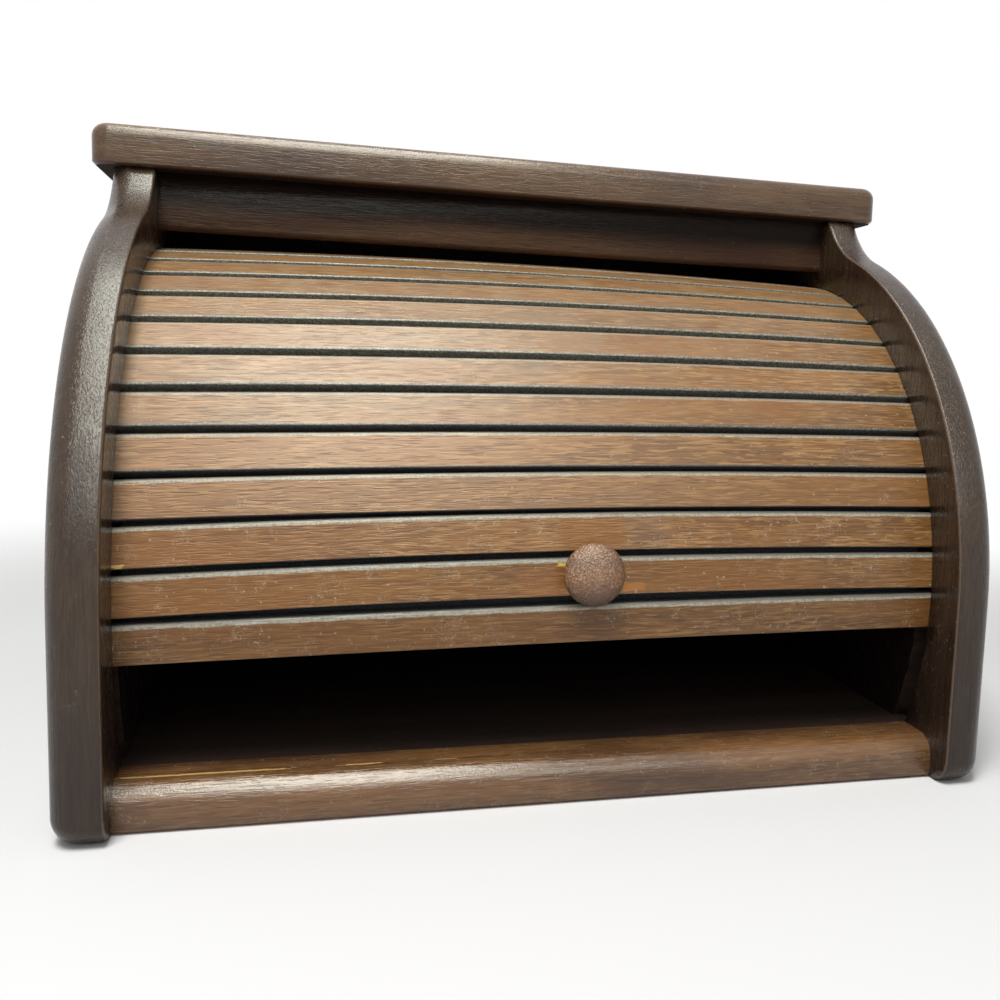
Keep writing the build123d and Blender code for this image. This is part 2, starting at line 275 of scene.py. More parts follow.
# stained and varnished wood; grainTurn lays the grain along another axis than X
varnish = {
    "blotchScale": (9, 26, 26), "blotchShift": (5, 2, 1), "blotchFrom": 0.42, "blotchFull": 0.72,
    "fibreHeight": 0.5, "fleckHeight": 0.5, "peelScale": 950, "peelRough": 0.6, "bumpDistance": 0.00012,
    "blotchRough": 0.05, "poreRough": 0.08, "lintRough": 0.4,
}


def varnishedWood(name, look):
    material, tree, shader = newMaterial(name)
    place = readAttribute(tree, look["placeFrom"], "Vector") if look["placeFrom"] else objectPlace(tree)
    along = stretched(tree, place, (1, 1, 1), look["shift"], look["grainTurn"])
    grain = useGroup(tree, woodGrain, Place=along)
    colour = tint(tree, grain["Figure"], look["deep"], look["light"])
    colour = tint(tree, times(tree, grain["Fibre"], look["fibre"]), colour, look["pale"])
    colour = tint(tree, times(tree, grain["Pores"], look["pores"]), colour, look["pore"])
    colour = tint(tree, times(tree, grain["Flecks"], look["flecks"]), colour, look["pale"])
    clouds = cloudy(tree, stretched(tree, along, varnish["blotchScale"], varnish["blotchShift"]), 1, 2)
    blotches = fadeBetween(tree, clouds, varnish["blotchFrom"], varnish["blotchFull"])
    colour = tint(tree, times(tree, blotches, look["blotch"]), colour, look["blotched"])
    lintAmount = readAttribute(tree, look["lintFrom"], "Fac") if look["lintFrom"] else look["lint"]
    specks = useGroup(tree, lintSpecks, Place=place, Amount=lintAmount)
    dusty = times(tree, calc(tree, "MAXIMUM", specks["Hairs"], specks["Specks"]), look["lintShow"])
    height = calc(tree, "SUBTRACT", times(tree, grain["Fibre"], varnish["fibreHeight"]), grain["Pores"])
    height = calc(tree, "ADD", height, times(tree, grain["Flecks"], varnish["fleckHeight"]))
    orangePeel = cloudy(tree, place, varnish["peelScale"], 2, varnish["peelRough"])
    height = calc(tree, "ADD", height, times(tree, orangePeel, look["peel"]))
    roughen(tree, shader, height, look["bump"], varnish["bumpDistance"])
    rough = calc(tree, "ADD", times(tree, blotches, varnish["blotchRough"]),
                 times(tree, grain["Pores"], varnish["poreRough"]))
    rough = calc(tree, "ADD", rough, look["roughness"])
    rough = calc(tree, "ADD", rough, times(tree, dusty, varnish["lintRough"]))
    tree.links.new(rough, shader.inputs["Roughness"])
    shader.inputs["Specular IOR Level"].default_value = look["specular"]
    colour = tint(tree, dusty, colour, look["lintColour"])
    tree.links.new(colour, shader.inputs["Base Color"])
    return {"material": material, "tree": tree, "shader": shader, "colour": colour, "place": place}


def coat(finish, mask, over, show=1.0):
    # one more layer over the finish, where the mask is
    tree = finish["tree"]
    finish["colour"] = tint(tree, times(tree, mask, show), finish["colour"], over)
    tree.links.new(finish["colour"], finish["shader"].inputs["Base Color"])


caseLook = {
    "deep": (0.027, 0.014, 0.008, 1), "light": (0.052, 0.030, 0.016, 1), "pale": (0.110, 0.074, 0.043, 1),
    "pore": (0.014, 0.008, 0.005, 1), "blotched": (0.032, 0.014, 0.012, 1), "blotch": 0.55,
    "fibre": 0.28, "pores": 0.3, "flecks": 0.2,
    "lint": 0.42, "lintFrom": None, "lintShow": 0.35, "lintColour": (0.38, 0.34, 0.29, 1),
    "bump": 0.45, "peel": 1.2, "roughness": 0.22, "specular": 0.40,
    "placeFrom": None, "shift": (0, 0, 0), "grainTurn": (0, math.pi / 2, 0),
}
boardLook = dict(
    caseLook, grainTurn=(0, 0, 0), shift=(0.4, 0.1, 0.2), roughness=0.19, specular=0.46,
    deep=(0.076, 0.036, 0.013, 1), light=(0.140, 0.072, 0.029, 1), pale=(0.25, 0.155, 0.078, 1),
)
# painted shade: the fascia takes the board's wood at about half its brightness, for the shade under the top
# board's overhang
shadedFasciaLook = dict(
    boardLook, shift=(0.6, 0.5, 0.3), specular=0.06, lintShow=0.2,
    deep=(0.044, 0.022, 0.012, 1), light=(0.098, 0.052, 0.028, 1), pale=(0.14, 0.085, 0.05, 1),
)
sillLook = dict(
    boardLook, shift=(0.9, 0.3, 0.1), roughness=0.18, specular=0.62, flecks=0.35, lint=0.6, lintShow=0.4,
    deep=(0.092, 0.036, 0.011, 1), light=(0.195, 0.084, 0.028, 1), pale=(0.33, 0.20, 0.09, 1),
)
# painted shade: the wood within the box is darker than the case's
insideLook = dict(
    boardLook, shift=(0.2, 0.7, 0.4), roughness=0.5, specular=0.2, lintShow=0.15,
    deep=(0.016, 0.010, 0.008, 1), light=(0.034, 0.021, 0.015, 1), pale=(0.05, 0.034, 0.025, 1),
)
dullShadeLook = dict(insideLook, shift=(0.3, 0.9, 0.7), roughness=0.8, specular=0.06)
slatLook = {
    "deep": (0.080, 0.027, 0.005, 1), "light": (0.225, 0.090, 0.018, 1), "pale": (0.53, 0.295, 0.110, 1),
    "pore": (0.042, 0.014, 0.004, 1), "blotched": (0.240, 0.086, 0.012, 1), "blotch": 0.65,
    "fibre": 0.38, "pores": 0.58, "flecks": 0.60,
    "lintFrom": "lintAmount", "lintShow": 0.75, "lintColour": (0.60, 0.52, 0.38, 1),
    "bump": 0.5, "peel": 0.15, "roughness": 0.32, "specular": 0.42,
    "placeFrom": "grainPlace", "shift": (0, 0, 0), "grainTurn": (0, 0, 0),
}

boardWood = varnishedWood("boardWood", boardLook)
insideWood = varnishedWood("insideWood", insideLook)
dullShadeWood = varnishedWood("dullShadeWood", dullShadeLook)

# the panels carry painted shade within the door's circle, are darker low down, and carry a painted
# highlight along the inner front arris
panel = {
    "insideFrom": 0.1640, "insideFull": 0.1600, "innerFace": 0.1955, "inside": (0.016, 0.009, 0.007, 1),
    "lowFrom": 0.095, "lowFull": 0.02, "low": (0.012, 0.007, 0.007, 1), "lowShow": 0.5,
    "arrisFrom": 0.18505, "arrisTo": 0.1858, "arrisOutside": 0.1750,
    "arris": (0.26, 0.17, 0.11, 1), "arrisHighlightShow": 0.35,
    "grooveInner": 0.150, "grooveOuter": 0.1645, "grooveMouth": 0.1852, "grooveFloor": 0.1953,
}
panelWood = varnishedWood("panelWood", caseLook)
tree = panelWood["tree"]
axes = axesOf(tree, panelWood["place"])
sideways = calc(tree, "ABSOLUTE", axes["X"])
forward = calc(tree, "SUBTRACT", axes["Y"], grooves["y"])
upward = calc(tree, "SUBTRACT", axes["Z"], grooves["z"])
fromCentre = calc(tree, "ADD", times(tree, forward, forward), times(tree, upward, upward))
fromCentre = calc(tree, "SQRT", fromCentre)
# painted shade: the panels' inner faces within the door's circle are darkened
inside = fadeBetween(tree, fromCentre, panel["insideFrom"], panel["insideFull"])
coat(panelWood, times(tree, inside, calc(tree, "LESS_THAN", sideways, panel["innerFace"])), panel["inside"])
low = fadeBetween(tree, axes["Z"], panel["lowFrom"], panel["lowFull"])
coat(panelWood, low, panel["low"], panel["lowShow"])
# painted highlight: a pale line along the panels' inner front arris
arris = times(tree, calc(tree, "GREATER_THAN", sideways, panel["arrisFrom"]),
              calc(tree, "LESS_THAN", sideways, panel["arrisTo"]))
arris = times(tree, arris, calc(tree, "GREATER_THAN", fromCentre, panel["arrisOutside"]))
coat(panelWood, arris, panel["arris"], panel["arrisHighlightShow"])

# painted shadow of the top board's overhang, darkest in the corner between the fascia and the top board
fascia = {"overhangShadowFrom": 0.264, "overhangShadowFull": 0.275, "overhangShadow": (0.007, 0.005, 0.005, 1), "overhangShadowShow": 0.85}
shadedFasciaWood = varnishedWood("shadedFasciaWood", shadedFasciaLook)
axes = axesOf(shadedFasciaWood["tree"], shadedFasciaWood["place"])
# painted shadow: the fascia darkens towards its top, under the overhang
overhangShadow = fadeBetween(shadedFasciaWood["tree"], axes["Z"], fascia["overhangShadowFrom"], fascia["overhangShadowFull"])
coat(shadedFasciaWood, overhangShadow, fascia["overhangShadow"], fascia["overhangShadowShow"])

# the sill's upper arris is rubbed through to bare yellow wood
sill = {
    "bare": (0.62, 0.40, 0.14, 1),
    "rubs": (
        {"along": -0.155, "across": -0.1447, "halfLength": 0.035, "halfWidth": 0.0008, "fray": 0.6},
        {"along": -0.087, "across": -0.1447, "halfLength": 0.008, "halfWidth": 0.0006, "fray": 0.6},
        {"along": -0.050, "across": -0.1447, "halfLength": 0.006, "halfWidth": 0.0003, "fray": 0.6},
    ),
}
sillWood = varnishedWood("sillWood", sillLook)
axes = axesOf(sillWood["tree"], sillWood["place"])
for rub in sill["rubs"]:
    coat(sillWood, patchMask(sillWood["tree"], axes["X"], axes["Y"], sillWood["place"], rub), sill["bare"])
print("case finishes ready")


# the case keeps the frame's shapes, with its round faces shaded smoothly
def smoothCopy(nodeName, pieceName, finish):
    bm = bmesh.new()
    bm.from_mesh(nodes[nodeName].data)  # loose triangles, joined next
    bmesh.ops.remove_doubles(bm, verts=bm.verts[:], dist=0.000002)
    piece = newPiece(pieceName, bm, "case", finish["material"])
    shadeRound(piece)
    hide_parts(nodeName)
    return piece


for side in ("left", "right"):
    sidePanel = smoothCopy(f"side_panel_{side}", f"{side}Panel", panelWood)
    sidePanel.data.materials.append(dullShadeWood["material"])
    for face in sidePanel.data.polygons:
        # the walls of the door's groove are left raw and dull, their dark colour painted shade
        middle = face.center
        radius = math.hypot(middle.y - grooves["y"], middle.z - grooves["z"])
        inWalls = panel["grooveInner"] < radius < panel["grooveOuter"]
        inDepth = panel["grooveMouth"] < abs(middle.x) < panel["grooveFloor"]
        face.material_index = 1 if inWalls and inDepth else 0
topBoard = smoothCopy("top_board", "topBoard", boardWood)
topBoard.data.materials.append(dullShadeWood["material"])
# painted shade: the top board's underside takes the dark, dull finish
for face in topBoard.data.polygons:
    facesDown = face.normal.z < -0.9
    face.material_index = 1 if facesDown else 0
smoothCopy("fascia_board", "fasciaBoard", shadedFasciaWood)
smoothCopy("front_sill", "sillBoard", sillWood)
# painted shade: the floor board and back panel take the darker wood of the box's interior
for name in ("floor_board", "back_panel"):
    nodes[name].data.materials.clear()
    nodes[name].data.materials.append(insideWood["material"])
print("case dressed")


# door: bowed slats on the grooves' circle; lead is how far the right end hangs ahead of the left one,
# and pull how far the slats near the knob bend upwards
door = {
    "slats": 17, "face": 0.1615, "bow": 0.0035,
    "firstEdge": -6.5,  # degrees above straight forward
    "lead": 0.0063, "pull": 0.0032, "pullAt": 2.3, "pullReach": 2.0,
}
slat = {
    "length": 0.386, "width": 0.0171, "gap": 0.00215, "thick": 0.008,
    "upperEase": 0.0018, "upperSteps": 5, "lowerEase": 0.0006, "lowerSteps": 3, "cuts": 22,
    "wander": 0.00012, "wanderAlong": 14, "wanderAcross": 90,
    "tone": 0.5, "toneSpread": 0.9, "lintMost": 0.95, "lintLeast": 0.30, "lintFall": 0.11,
}
slatMiddle = door["face"] - slat["thick"] / 2
halfSlat = slat["length"] / 2


def doorPoint(along, outward, angle):
    # a point of the bowed door; outward counts from the middle of the slats' thickness
    bulge = door["bow"] * (1 - (along / halfSlat) ** 2)
    radius = slatMiddle + outward + bulge
    return Vector((along, grooves["y"] - radius * math.cos(angle), grooves["z"] + radius * math.sin(angle)))


def slatBaseAngle(number):
    halfAngle = slat["width"] / 2 / slatMiddle
    pitch = (slat["width"] + slat["gap"]) / slatMiddle
    return math.radians(door["firstEdge"]) + halfAngle + pitch * (number - 1)


def slatAngleAt(number, along):
    share = along / halfSlat
    pull = door["pull"] * math.exp(-(((number - door["pullAt"]) / door["pullReach"]) ** 2)) / slatMiddle
    lean = door["lead"] / 2 / door["face"]
    return slatBaseAngle(number) + lean * share + pull * (1 - share**2)


def longEdges(bm):
    return [edge for edge in bm.edges if abs(edge.verts[0].co.x - edge.verts[1].co.x) > halfSlat]


def easeEdges(bm, edges, offset, steps):
    bmesh.ops.bevel(bm, geom=edges, offset=offset, offset_type="OFFSET", segments=steps,
                    profile=0.5, affect="EDGES", clamp_overlap=True, material=-1)


def slatPiece(number, material):
    bm = bmesh.new()
    bmesh.ops.create_cube(bm, size=1)
    bmesh.ops.scale(bm, vec=(slat["length"], slat["thick"], slat["width"]), verts=bm.verts)
    edges = longEdges(bm)
    upperOuter = [edge for edge in edges if edge.verts[0].co.y < 0 and edge.verts[0].co.z > 0]
    others = [edge for edge in edges if edge not in upperOuter]
    easeEdges(bm, upperOuter, slat["upperEase"], slat["upperSteps"])
    easeEdges(bm, others, slat["lowerEase"], slat["lowerSteps"])
    bmesh.ops.subdivide_edges(bm, edges=longEdges(bm), cuts=slat["cuts"], use_grid_fill=False)
    slatPlace = bm.verts.layers.float_vector.new("slatPlace")
    grainPlace = bm.verts.layers.float_vector.new("grainPlace")
    slatTone = bm.verts.layers.float.new("slatTone")
    numberLayer = bm.verts.layers.float.new("slatNumber")
    lintAmount = bm.verts.layers.float.new("lintAmount")
    # each slat reads its grain and tone at a place of its own in the noise
    own = noise.noise_vector(Vector((number * 7.3, 2.1, 5.7)))
    layer = Vector((0, 0, number * 0.05))
    tone = slat["tone"] + slat["toneSpread"] * noise.noise(Vector((number * 3.71, 0.4, 9.2)))
    facing = slatAngleAt(number, 0)
    outwards = Vector((0, -math.cos(facing), math.sin(facing)))
    upwards = Vector((0, math.sin(facing), math.cos(facing)))
    for vert in bm.verts:
        straight = vert.co.copy()
        vert[slatPlace] = straight
        vert[grainPlace] = straight + own + layer
        vert[slatTone] = tone
        vert[numberLayer] = number
        vert[lintAmount] = max(slat["lintLeast"], slat["lintMost"] - slat["lintFall"] * number)
        # hand-sanded edges wander a little
        waves = Vector((straight.x * slat["wanderAlong"], number * 5.0, straight.z * slat["wanderAcross"]))
        wander = slat["wander"] * noise.noise(waves)
        centre = doorPoint(straight.x, 0, slatAngleAt(number, straight.x))
        vert.co = centre - outwards * straight.y + upwards * (straight.z + wander)
    bmesh.ops.recalc_face_normals(bm, faces=bm.faces)
    piece = newPiece(f"slatWood{number:02d}", bm, "door", material)
    shadeRound(piece, 40)
    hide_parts(f"slat_{number:02d}")


# each slat's own tone, and the lowest slat darker
slatTones = {
    "tone": (0.25, 0.120, 0.040, 1), "toneShow": 0.4,
    "lowestDark": (0.060, 0.032, 0.016, 1), "lowestDarkFrom": 1.8, "lowestDarkFull": 0.8, "lowestDarkShow": 0.3,
}
slatWood = varnishedWood("slatWood", slatLook)
tree, grainAt = slatWood["tree"], slatWood["place"]
slatAt = readAttribute(tree, "slatPlace", "Vector")
slatAxes = axesOf(tree, slatAt)
slatNumber = readAttribute(tree, "slatNumber", "Fac")
coat(slatWood, readAttribute(tree, "slatTone", "Fac"), slatTones["tone"], slatTones["toneShow"])
lowest = fadeBetween(tree, slatNumber, slatTones["lowestDarkFrom"], slatTones["lowestDarkFull"])
coat(slatWood, lowest, slatTones["lowestDark"], slatTones["lowestDarkShow"])

# worn patches beside the knob and chips on two arrises
marks = [
    {"slat": 3, "along": 0.012, "across": 0.0006, "halfLength": 0.0160, "halfWidth": 0.010,
     "fray": 0.35, "colour": (0.27, 0.100, 0.010, 1), "show": 0.65},
    {"slat": 3, "along": 0.038, "across": 0.0006, "halfLength": 0.009, "halfWidth": 0.010,
     "fray": 0.9, "colour": (0.17, 0.105, 0.070, 1), "show": 0.3},
    {"slat": 2, "along": 0.0320, "across": -0.0052, "halfLength": 0.0050, "halfWidth": 0.0018,
     "fray": 0.4, "colour": (0.42, 0.165, 0.035, 1), "show": 0.8},
    {"slat": 2, "along": 0.0002, "across": 0.0060, "halfLength": 0.0042, "halfWidth": 0.0014,
     "fray": 0.5, "colour": (0.80, 0.52, 0.10, 1), "show": 1.0},
    {"slat": 3, "along": -0.1825, "across": -0.0078, "halfLength": 0.0024, "halfWidth": 0.0010,
     "fray": 0.7, "colour": (0.72, 0.46, 0.12, 1), "show": 1.0},
    {"slat": 2, "along": -0.010, "across": -0.002, "halfLength": 0.011, "halfWidth": 0.0070,
     "fray": 0.4, "colour": (0.30, 0.120, 0.035, 1), "show": 0.5},
]
for mark in marks:
    onThisSlat = calc(tree, "COMPARE", slatNumber, float(mark["slat"]), 0.4)
    worn = times(tree, patchMask(tree, slatAxes["X"], slatAxes["Z"], slatAt, mark), onThisSlat)
    coat(slatWood, worn, mark["colour"], mark["show"])

# a thin pale layer greys the slats that face upwards: dust, and painted sheen of the overhead light
dustAndSheenFilm = {
    "fromSlat": 3.0, "fullSlat": 10.0, "cloudScale": 60, "cloudFrom": 0.2, "cloudFull": 0.8,
    "colour": (0.34, 0.26, 0.15, 1), "show": 0.32,
}
clouds = cloudy(tree, grainAt, dustAndSheenFilm["cloudScale"], 3)
clouds = fadeBetween(tree, clouds, dustAndSheenFilm["cloudFrom"], dustAndSheenFilm["cloudFull"])
# painted sheen with dust: the upper slats are greyed and lightened
dustAndSheenMask = times(tree, fadeBetween(tree, slatNumber, dustAndSheenFilm["fromSlat"], dustAndSheenFilm["fullSlat"]), clouds)
coat(slatWood, dustAndSheenMask, dustAndSheenFilm["colour"], dustAndSheenFilm["show"])

# the narrow faces between the slats carry painted shade, dark on the lower slats, and grey dust, paler and
# wider, on the upper ones
grime = {
    "edge": slat["width"] / 2 - 0.0004, "blend": 0.0003,
    "wider": 0.0010, "widerFrom": 3.5, "widerFull": 6.5,
    "clotScale": 1100, "clotRough": 0.7, "clotFrom": 0.42, "clotFull": 0.66,
    "lowDark": (0.036, 0.036, 0.042, 1), "lowPale": (0.11, 0.105, 0.095, 1),
    "highDark": (0.14, 0.13, 0.105, 1), "highPale": (0.42, 0.39, 0.30, 1), "highFrom": 4.0, "highFull": 9.0,
}
wider = times(tree, fadeBetween(tree, slatNumber, grime["widerFrom"], grime["widerFull"]), grime["wider"])
edgeFrom = calc(tree, "SUBTRACT", grime["edge"], wider)
edgeFace = fadeBetween(tree, calc(tree, "ABSOLUTE", slatAxes["Z"]), edgeFrom,
                       calc(tree, "ADD", edgeFrom, grime["blend"]))
clots = cloudy(tree, slatAt, grime["clotScale"], 3, grime["clotRough"])
clots = fadeBetween(tree, clots, grime["clotFrom"], grime["clotFull"])
# painted shade: dark speckled narrow faces in the gaps of the lower slats
lowGapShade = tint(tree, clots, grime["lowDark"], grime["lowPale"])
highGapDust = tint(tree, clots, grime["highDark"], grime["highPale"])
high = fadeBetween(tree, slatNumber, grime["highFrom"], grime["highFull"])
coat(slatWood, edgeFace, tint(tree, high, lowGapShade, highGapDust))

# dust lies on the upper arrises, thickest on the lower slats; its palest line in front is partly a painted
# highlight, and its grey towards the gap partly painted shade
dust = {
    "from": slat["width"] / 2 - 0.0026, "full": slat["width"] / 2 - 0.0020,
    "uneven": 0.0012, "unevenScale": 120,
    "paleFrom": slat["width"] / 2 - 0.0006, "paleFull": slat["width"] / 2 - 0.0019,
    "backFrom": -0.0012, "backFull": -0.0036,
    "lowFrom": 9.0, "lowFull": 2.0, "lowShow": 0.7, "allShow": 0.25,
    "pale": (0.56, 0.52, 0.40, 1), "grey": (0.15, 0.143, 0.118, 1),
    "dark": (0.085, 0.075, 0.058, 1), "darkShow": 0.6,
    "fluffScale": 1000, "fluffRough": 0.75, "fluffFrom": 0.34, "fluffFull": 0.62,
}
fluff = cloudy(tree, grainAt, dust["fluffScale"], 3, dust["fluffRough"])
fluff = fadeBetween(tree, fluff, dust["fluffFrom"], dust["fluffFull"])
uneven = calc(tree, "SUBTRACT", cloudy(tree, grainAt, dust["unevenScale"], 3), 0.5)
uneven = times(tree, uneven, dust["uneven"])
ledge = fadeBetween(tree, calc(tree, "ADD", slatAxes["Z"], uneven), dust["from"], dust["full"])
shallow = fadeBetween(tree, slatAxes["Y"], dust["backFrom"], dust["backFull"])
lowDoor = times(tree, fadeBetween(tree, slatNumber, dust["lowFrom"], dust["lowFull"]), dust["lowShow"])
lowDoor = calc(tree, "ADD", lowDoor, dust["allShow"])
# painted highlight with dust: palest along the front of the arris
frontHighlight = fadeBetween(tree, slatAxes["Z"], dust["paleFrom"], dust["paleFull"])
dustAndPaintedLightColour = tint(tree, frontHighlight, dust["grey"], dust["pale"])
thin = times(tree, calc(tree, "SUBTRACT", 1.0, fluff), dust["darkShow"])
dustAndPaintedLightColour = tint(tree, thin, dustAndPaintedLightColour, dust["dark"])
coat(slatWood, times(tree, times(tree, ledge, shallow), lowDoor), dustAndPaintedLightColour)

for number in range(1, door["slats"] + 1):
    slatPiece(number, slatWood["material"])
print("slats made:", door["slats"])

# cloth glued across the backs of the slats
cloth = {
    "halfWidth": 0.183, "thick": 0.0008, "behind": 0.00030, "hem": 0.004,
    "cellsAcross": 28, "cellsAlong": 110,
    "threads": 230, "threadSway": 0.6, "weaveStrength": 0.6, "weaveDepth": 0.0003,
    "greyScale": 1100, "greyRough": 0.7, "greyFrom": 0.45, "greyFull": 0.75,
    "dark": (0.035, 0.037, 0.045, 1), "pale": (0.085, 0.088, 0.100, 1),
    "grey": (0.17, 0.17, 0.15, 1), "greyShow": 0.55, "roughness": 0.82,
}
clothFrom = math.radians(door["firstEdge"]) + cloth["hem"] / door["face"]
clothTo = slatBaseAngle(door["slats"]) + slat["width"] / 2 / slatMiddle - cloth["hem"] / door["face"]
clothLength = (clothTo - clothFrom) * (door["face"] - slat["thick"])


def charcoalCanvas():
    material, tree, shader = newMaterial("charcoalCanvas")
    flat = readAttribute(tree, "clothPlace", "Vector")
    threads = []
    for axis in ("X", "Y"):
        wave = tree.nodes.new("ShaderNodeTexWave")
        wave.bands_direction = axis
        wave.inputs["Scale"].default_value = cloth["threads"]
        wave.inputs["Distortion"].default_value = cloth["threadSway"]
        tree.links.new(flat, wave.inputs["Vector"])
        threads.append(wave.outputs["Fac"])
    weave = times(tree, threads[0], threads[1])
    grey = cloudy(tree, flat, cloth["greyScale"], 3, cloth["greyRough"])
    grey = fadeBetween(tree, grey, cloth["greyFrom"], cloth["greyFull"])
    colour = tint(tree, weave, cloth["dark"], cloth["pale"])
    colour = tint(tree, times(tree, grey, cloth["greyShow"]), colour, cloth["grey"])
    tree.links.new(colour, shader.inputs["Base Color"])
    roughen(tree, shader, weave, cloth["weaveStrength"], cloth["weaveDepth"])
    rough = calc(tree, "ADD", times(tree, grey, 0.1), cloth["roughness"])
    tree.links.new(rough, shader.inputs["Roughness"])
    return material


bm = bmesh.new()
bmesh.ops.create_grid(bm, x_segments=cloth["cellsAcross"], y_segments=cloth["cellsAlong"], size=0.5)
clothPlace = bm.verts.layers.float_vector.new("clothPlace")
for vert in bm.verts:
    along = vert.co.x * 2 * cloth["halfWidth"]
    share = vert.co.y + 0.5
    vert[clothPlace] = (along, share * clothLength, 0)
    angle = clothFrom + (clothTo - clothFrom) * share
    vert.co = doorPoint(along, -slat["thick"] / 2 - cloth["behind"], angle)
bmesh.ops.solidify(bm, geom=bm.faces[:], thickness=cloth["thick"])
bmesh.ops.recalc_face_normals(bm, faces=bm.faces)
doorCanvas = newPiece("doorCanvas", bm, "door", charcoalCanvas())
shadeRound(doorCanvas, 50)
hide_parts("door_cloth")
print("cloth made")

# knob, turned about its own axis and set on its slat: straight foot, waist, flare and round dome
knob = {
    "slat": 2, "along": 0.0108, "rise": 0.002, "gap": 0.00005,
    "foot": 0.0065, "footTop": 0.0006, "waist": 0.00565, "waistFrom": 0.0020, "waistTo": 0.0040,
    "flare": ((0.0072, 0.0064), (0.0106, 0.0085), (0.01310, 0.0094)),  # radius and height
    "radius": 0.01375, "rimHeight": 0.0102, "projection": 0.0170, "turns": 64, "domeSteps": 14,
    "deep": (0.19, 0.075, 0.026, 1), "light": (0.36, 0.16, 0.055, 1),
    "pitScale": 1150, "pitDepth": 0.0006, "roughness": 0.24, "specular": 0.7,
    "grime": (0.050, 0.023, 0.012, 1), "grimeFrom": 0.52, "grimeFull": 0.40, "grimeShow": 0.75,
    "worn": (0.56, 0.39, 0.24, 1), "wornFrom": 0.54, "wornFull": 0.64, "wornShow": 0.6,
    "below": (0.045, 0.024, 0.018, 1), "belowFrom": 0.105, "belowFull": 0.090, "belowShow": 0.7,
    "shift": (0.3, 0.2, 0.6), "grainTurn": (0.2, 0, 0.3),
}


def knobVarnish():
    material, tree, shader = newMaterial("knobVarnish")
    place = objectPlace(tree)
    along = stretched(tree, place, (1, 1, 1), knob["shift"], knob["grainTurn"])
    grain = useGroup(tree, woodGrain, Place=along)
    pits = cloudy(tree, place, knob["pitScale"], 3, 0.65, 0.4)
    dark = fadeBetween(tree, pits, knob["grimeFrom"], knob["grimeFull"])
    pale = fadeBetween(tree, pits, knob["wornFrom"], knob["wornFull"])
    # painted shade: the knob's lower half is darkened
    below = fadeBetween(tree, axesOf(tree, place)["Z"], knob["belowFrom"], knob["belowFull"])
    colour = tint(tree, grain["Figure"], knob["deep"], knob["light"])
    colour = tint(tree, times(tree, dark, knob["grimeShow"]), colour, knob["grime"])
    colour = tint(tree, times(tree, pale, knob["wornShow"]), colour, knob["worn"])
    colour = tint(tree, times(tree, below, knob["belowShow"]), colour, knob["below"])
    tree.links.new(colour, shader.inputs["Base Color"])
    roughen(tree, shader, pits, 1.0, knob["pitDepth"])
    tree.links.new(calc(tree, "ADD", times(tree, dark, 0.2), knob["roughness"]), shader.inputs["Roughness"])
    shader.inputs["Specular IOR Level"].default_value = knob["specular"]
    return material


outline = [
    (0, 0), (knob["foot"], 0), (knob["foot"], knob["footTop"]),
    (knob["waist"], knob["waistFrom"]), (knob["waist"], knob["waistTo"]), *knob["flare"],
]
dome = knob["projection"] - knob["rimHeight"]
for step in range(knob["domeSteps"] + 1):
    rising = math.pi / 2 * step / knob["domeSteps"]
    radius = knob["radius"] * math.cos(rising) if step < knob["domeSteps"] else 0
    outline.append((radius, knob["rimHeight"] + dome * math.sin(rising)))
bm = bmesh.new()
ring = [bm.verts.new((radius, 0, height)) for radius, height in outline]
edges = [bm.edges.new(pair) for pair in zip(ring, ring[1:])]
bmesh.ops.spin(bm, geom=ring + edges, cent=(0, 0, 0), axis=(0, 0, 1), angle=2 * math.pi,
               steps=knob["turns"], use_merge=True, use_duplicate=False)
bmesh.ops.remove_doubles(bm, verts=bm.verts[:], dist=0.000005)
bmesh.ops.recalc_face_normals(bm, faces=bm.faces)
knobTurn = slatAngleAt(knob["slat"], 0)
outwards = Vector((0, -math.cos(knobTurn), math.sin(knobTurn)))
upwards = Vector((0, math.sin(knobTurn), math.cos(knobTurn)))
seat = doorPoint(knob["along"], slat["thick"] / 2 + knob["gap"], knobTurn) + knob["rise"] * upwards
rightwards = Vector((1, 0, 0))
onward = outwards.cross(rightwards)
toDoor = Matrix((rightwards, onward, outwards)).transposed().to_4x4()
toDoor.translation = seat
bmesh.ops.transform(bm, matrix=toDoor, verts=bm.verts)
turnedKnob = newPiece("turnedKnob", bm, "door", knobVarnish())
shadeRound(turnedKnob, 60)
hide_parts("knob")
print("knob made")

# screw that holds the knob from behind
screw = {
    "bright": (0.42, 0.41, 0.39, 1), "tarnished": (0.24, 0.20, 0.16, 1), "roughness": 0.3,
    "tarnishScale": 900, "tarnishFrom": 0.35, "tarnishFull": 0.7, "tarnishDepth": 0.0001,
}


def screwSteel():
    material, tree, shader = newMaterial("screwSteel")
    tarnish = cloudy(tree, objectPlace(tree), screw["tarnishScale"], 3)
    tarnish = fadeBetween(tree, tarnish, screw["tarnishFrom"], screw["tarnishFull"])
    rough = calc(tree, "ADD", times(tree, tarnish, 0.25), screw["roughness"])
    tree.links.new(tint(tree, tarnish, screw["bright"], screw["tarnished"]), shader.inputs["Base Color"])
    tree.links.new(rough, shader.inputs["Roughness"])
    shader.inputs["Metallic"].default_value = 1.0
    roughen(tree, shader, tarnish, 1.0, screw["tarnishDepth"])
    return material


nodes["knob_screw"].data.materials.clear()
nodes["knob_screw"].data.materials.append(screwSteel())

